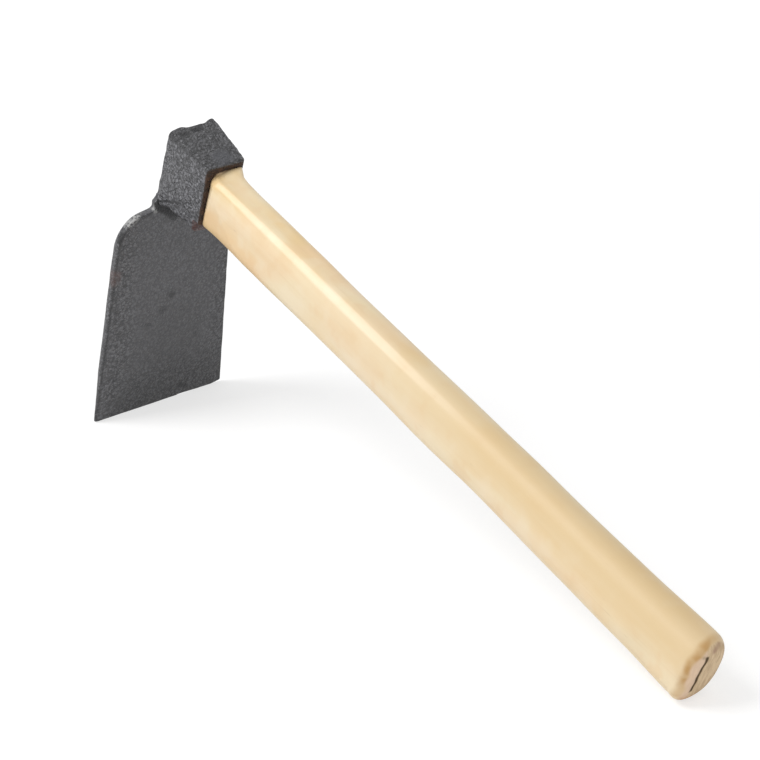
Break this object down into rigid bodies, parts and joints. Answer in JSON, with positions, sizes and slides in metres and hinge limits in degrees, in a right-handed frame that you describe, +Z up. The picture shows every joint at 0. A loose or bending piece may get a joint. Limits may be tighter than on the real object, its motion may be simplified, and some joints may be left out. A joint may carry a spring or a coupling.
{
  "type": "hand hoe",
  "caption": "Short hand hoe: a flat square-shouldered steel blade welded under a box eye, on a wedged wooden handle that turns from rectangular to oval.",
  "frame": {"origin": "under the middle of the tool's box, on the floor that it stands on", "axes": "+Z up, +X from the blade towards the butt of the handle, Y across the tool, which stands on its cutting edge and on the butt"},
  "size_m": [0.4422, 0.0898, 0.1848],
  "materials": {
    "hammered_paint": "dark grey hammered paint over forged steel, half gloss",
    "painted_weld": "the same paint over a lumpy weld bead",
    "lacquered_wood": "pale straight-grained wood under clear gloss lacquer, bare at the butt's end grain",
    "wedge_wood": "dry split hardwood, unfinished",
    "wedge_steel": "dull steel"
  },
  "bodies": {
    "root": {"blade": "hammered_paint", "eye_socket": "hammered_paint", "front_weld": "painted_weld", "rear_weld": "painted_weld", "handle": "lacquered_wood", "wooden_wedge": "wedge_wood", "steel_wedge": "wedge_steel"}
  },
  "joints": []
}
